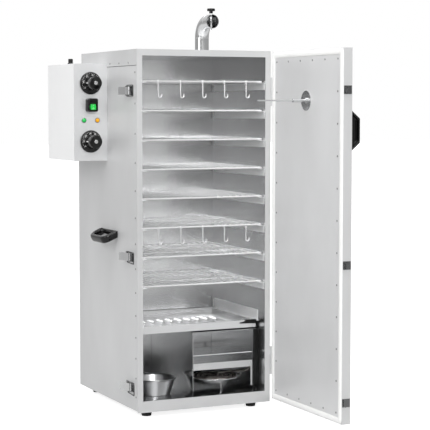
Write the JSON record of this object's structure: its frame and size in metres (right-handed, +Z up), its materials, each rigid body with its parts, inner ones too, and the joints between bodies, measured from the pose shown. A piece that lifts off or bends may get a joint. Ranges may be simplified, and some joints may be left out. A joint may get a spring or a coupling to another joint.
{
  "type": "upright electric smoker",
  "caption": "Upright insulated smoking cabinet with a side-hinged door, wire racks on folded rails, hanging hooks, a heater bay, a water bowl, a side control box and an elbow chimney.",
  "frame": {"origin": "on the floor, under the middle of the front left foot", "axes": "+X towards the hinge side of the cabinet, -Y towards the front where the door is, +Z up"},
  "size_m": [0.5639, 0.8875, 1.1395],
  "materials": {
    "casing_steel": "satin stainless sheet",
    "liner_steel": "bright stainless sheet",
    "chromed_wire": "polished round wire",
    "mineral_wool": "pale compressed wool slab",
    "foot_rubber": "black moulded rubber",
    "zinc_steel": "plated pressed steel",
    "black_gloss": "glossy black moulding",
    "black_matte": "satin black moulding",
    "white_enamel": "smooth white coating",
    "grey_enamel": "satin sheet",
    "control_plastic": "plain moulding",
    "green_window": "translucent green rocker",
    "lamp_lens": "clear lens over a coloured lamp",
    "white_silicone": "smooth white silicone",
    "element_sheath": "heat-tinted steel tube"
  },
  "bodies": {
    "cabinet": {"left_side_panel": "casing_steel", "right_side_panel": "casing_steel", "top_cap": "casing_steel", "base_pan": "casing_steel", "rear_cover": "casing_steel", "front_frame": "casing_steel", "chamber_liner": "liner_steel", "insulation": "mineral_wool", "rails": "liner_steel", "feet": "foot_rubber", "casing_screws": "zinc_steel", "side_handles": "black_gloss", "chimney_pipe": "liner_steel", "control_housing": "white_enamel", "control_panel": "grey_enamel", "thermostat": "control_plastic", "timer": "control_plastic", "switch_housing": "black_matte", "pilot_lamps": "lamp_lens", "cable_gland": "black_matte", "terminal_block": "control_plastic", "latch_bases": "zinc_steel", "hinge_leaves_cabinet": "zinc_steel", "heater_bay": "liner_steel", "heat_shield": "liner_steel", "heater_dish": "liner_steel", "heating_element": "element_sheath"},
    "door": {"door_shell": "casing_steel", "door_inner_panel": "liner_steel", "door_insulation": "mineral_wool", "door_seal": "white_silicone", "door_screws": "zinc_steel", "door_handle": "black_gloss", "door_keepers": "zinc_steel", "hinge_leaves_door": "zinc_steel", "thermometer_dial": "black_gloss", "thermometer_probe": "chromed_wire"},
    "rack_1_body": {"rack_1": "chromed_wire"},
    "rack_2_body": {"rack_2": "chromed_wire"},
    "rack_3_body": {"rack_3": "chromed_wire"},
    "rack_4_body": {"rack_4": "chromed_wire"},
    "rack_5_body": {"rack_5": "chromed_wire"},
    "rack_6_body": {"rack_6": "chromed_wire"},
    "rack_7_body": {"rack_7": "chromed_wire"},
    "rack_8_body": {"rack_8": "chromed_wire"},
    "upper_hooks": {"hooks_upper": "chromed_wire"},
    "lower_hooks": {"hooks_lower": "chromed_wire"},
    "tray": {"drip_tray": "liner_steel"},
    "bowl": {"water_bowl": "liner_steel"},
    "damper": {"damper_blade": "liner_steel", "damper_knob": "black_gloss"},
    "thermostat_knob": {"thermostat_dial": "black_gloss"},
    "timer_knob": {"timer_dial": "black_gloss"},
    "rocker": {"switch_rocker": "green_window"},
    "lever_low": {"latch_lever_low": "zinc_steel"},
    "loop_low": {"latch_loop_low": "zinc_steel"},
    "lever_mid": {"latch_lever_mid": "zinc_steel"},
    "loop_mid": {"latch_loop_mid": "zinc_steel"},
    "lever_top": {"latch_lever_top": "zinc_steel"},
    "loop_top": {"latch_loop_top": "zinc_steel"}
  },
  "joints": [
    {"name": "door_hinge", "type": "hinge", "parent": "cabinet", "child": "door", "pos_m": [0.3692, -0.043, 0.516], "axis": [0, 0, 1], "range_deg": [-90, 25]},
    {"name": "rack_1_slide", "type": "slide", "parent": "cabinet", "child": "rack_1_body", "axis": [0, -1, 0], "range_m": [0, 0.3]},
    {"name": "rack_2_slide", "type": "slide", "parent": "cabinet", "child": "rack_2_body", "axis": [0, -1, 0], "range_m": [0, 0.3]},
    {"name": "rack_3_slide", "type": "slide", "parent": "cabinet", "child": "rack_3_body", "axis": [0, -1, 0], "range_m": [0, 0.3]},
    {"name": "rack_4_slide", "type": "slide", "parent": "cabinet", "child": "rack_4_body", "axis": [0, -1, 0], "range_m": [0, 0.3]},
    {"name": "rack_5_slide", "type": "slide", "parent": "cabinet", "child": "rack_5_body", "axis": [0, -1, 0], "range_m": [0, 0.3]},
    {"name": "rack_6_slide", "type": "slide", "parent": "cabinet", "child": "rack_6_body", "axis": [0, -1, 0], "range_m": [0, 0.3]},
    {"name": "rack_7_slide", "type": "slide", "parent": "cabinet", "child": "rack_7_body", "axis": [0, -1, 0], "range_m": [0, 0.3]},
    {"name": "rack_8_slide", "type": "slide", "parent": "cabinet", "child": "rack_8_body", "axis": [0, -1, 0], "range_m": [0, 0.3]},
    {"name": "tray_slide", "type": "slide", "parent": "cabinet", "child": "tray", "axis": [0, -1, 0], "range_m": [0, 0.25]},
    {"name": "bowl_lift", "type": "slide", "parent": "cabinet", "child": "bowl", "axis": [0, 0, 1], "range_m": [0, 0.1]},
    {"name": "damper_turn", "type": "hinge", "parent": "cabinet", "child": "damper", "pos_m": [0.2394, 0.087, 1.1026], "axis": [0, 0, 1], "range_deg": [-64, 26]},
    {"name": "thermostat_turn", "type": "hinge", "parent": "cabinet", "child": "thermostat_knob", "pos_m": [-0.0925, 0.16, 0.926], "axis": [0, 1, 0], "range_deg": [0, 270]},
    {"name": "timer_turn", "type": "hinge", "parent": "cabinet", "child": "timer_knob", "pos_m": [-0.0925, 0.16, 0.761], "axis": [0, 1, 0], "range_deg": [0, 270]},
    {"name": "rocker_tilt", "type": "hinge", "parent": "cabinet", "child": "rocker", "pos_m": [-0.0925, 0.166, 0.859], "axis": [1, 0, 0], "range_deg": [0, 16]},
    {"name": "upper_hooks_swing", "type": "hinge", "parent": "rack_1_body", "child": "upper_hooks", "pos_m": [0.162, -0.02, 0.9295], "axis": [1, 0, 0], "range_deg": [-10, 40]},
    {"name": "lower_hooks_swing", "type": "hinge", "parent": "rack_6_body", "child": "lower_hooks", "pos_m": [0.162, -0.02, 0.52486], "axis": [1, 0, 0], "range_deg": [-10, 40]},
    {"name": "lever_low_turn", "type": "hinge", "parent": "cabinet", "child": "lever_low", "pos_m": [-0.0475, 0.002, 0.083], "axis": [0, 0, 1], "range_deg": [-12, 78]},
    {"name": "loop_low_turn", "type": "hinge", "parent": "lever_low", "child": "loop_low", "pos_m": [-0.05112, 0.00941, 0.083], "axis": [0, 0, 1], "range_deg": [-136.5, 21]},
    {"name": "lever_mid_turn", "type": "hinge", "parent": "cabinet", "child": "lever_mid", "pos_m": [-0.0475, 0.002, 0.446], "axis": [0, 0, 1], "range_deg": [-12, 78]},
    {"name": "loop_mid_turn", "type": "hinge", "parent": "lever_mid", "child": "loop_mid", "pos_m": [-0.05112, 0.00941, 0.446], "axis": [0, 0, 1], "range_deg": [-136.5, 21]},
    {"name": "lever_top_turn", "type": "hinge", "parent": "cabinet", "child": "lever_top", "pos_m": [-0.0475, 0.002, 0.903], "axis": [0, 0, 1], "range_deg": [-12, 78]},
    {"name": "loop_top_turn", "type": "hinge", "parent": "lever_top", "child": "loop_top", "pos_m": [-0.05112, 0.00941, 0.903], "axis": [0, 0, 1], "range_deg": [-136.5, 21]}
  ],
  "couplings": [
    {"joint": "loop_low_turn", "follows": "lever_low_turn", "ratio": -1.75},
    {"joint": "loop_mid_turn", "follows": "lever_mid_turn", "ratio": -1.75},
    {"joint": "loop_top_turn", "follows": "lever_top_turn", "ratio": -1.75}
  ]
}
